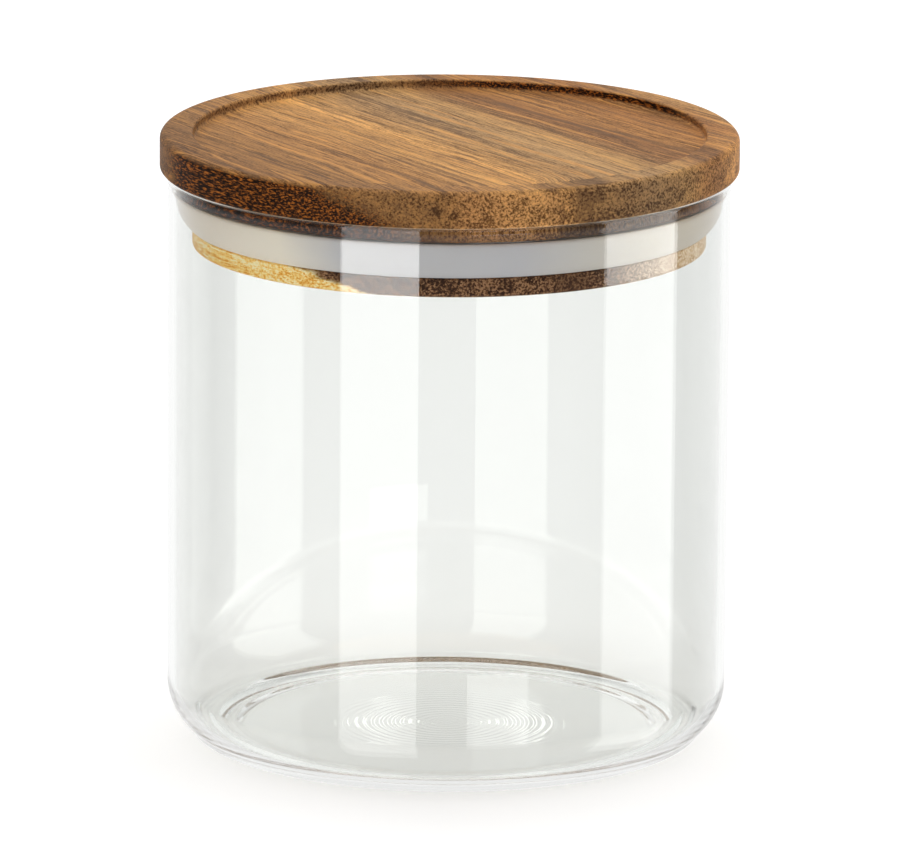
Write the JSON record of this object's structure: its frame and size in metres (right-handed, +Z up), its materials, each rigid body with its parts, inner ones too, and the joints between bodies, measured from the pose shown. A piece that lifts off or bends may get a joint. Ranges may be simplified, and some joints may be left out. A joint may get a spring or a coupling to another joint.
{
  "type": "storage jar",
  "caption": "Straight-sided clear glass jar with a turned wooden push-in lid, its top a shallow tray, and a flared silicone lip seal.",
  "frame": {"origin": "on the jar's axis, at the surface that the jar stands on", "axes": "+Z up along the jar's axis, from the base to the lid; X and Y are equivalent because every piece is turned about Z, and the picture looks along +Y"},
  "size_m": [0.103, 0.103, 0.1099],
  "materials": {
    "glass": "clear, fire-polished",
    "wood": "oiled acacia, satin",
    "silicone": "translucent, matt"
  },
  "bodies": {
    "jar": {"glass_jar": "glass"},
    "seal": {"lid_seal": "silicone"},
    "lid": {"wooden_lid": "wood"}
  },
  "joints": [
    {"name": "lid_lift", "type": "slide", "parent": "jar", "child": "seal", "axis": [0, 0, 1], "range_m": [0, 0.11]},
    {"name": "lid_turn", "type": "hinge", "parent": "seal", "child": "lid", "pos_m": [0, 0, 0.0968], "axis": [0, 0, 1], "continuous": true}
  ]
}
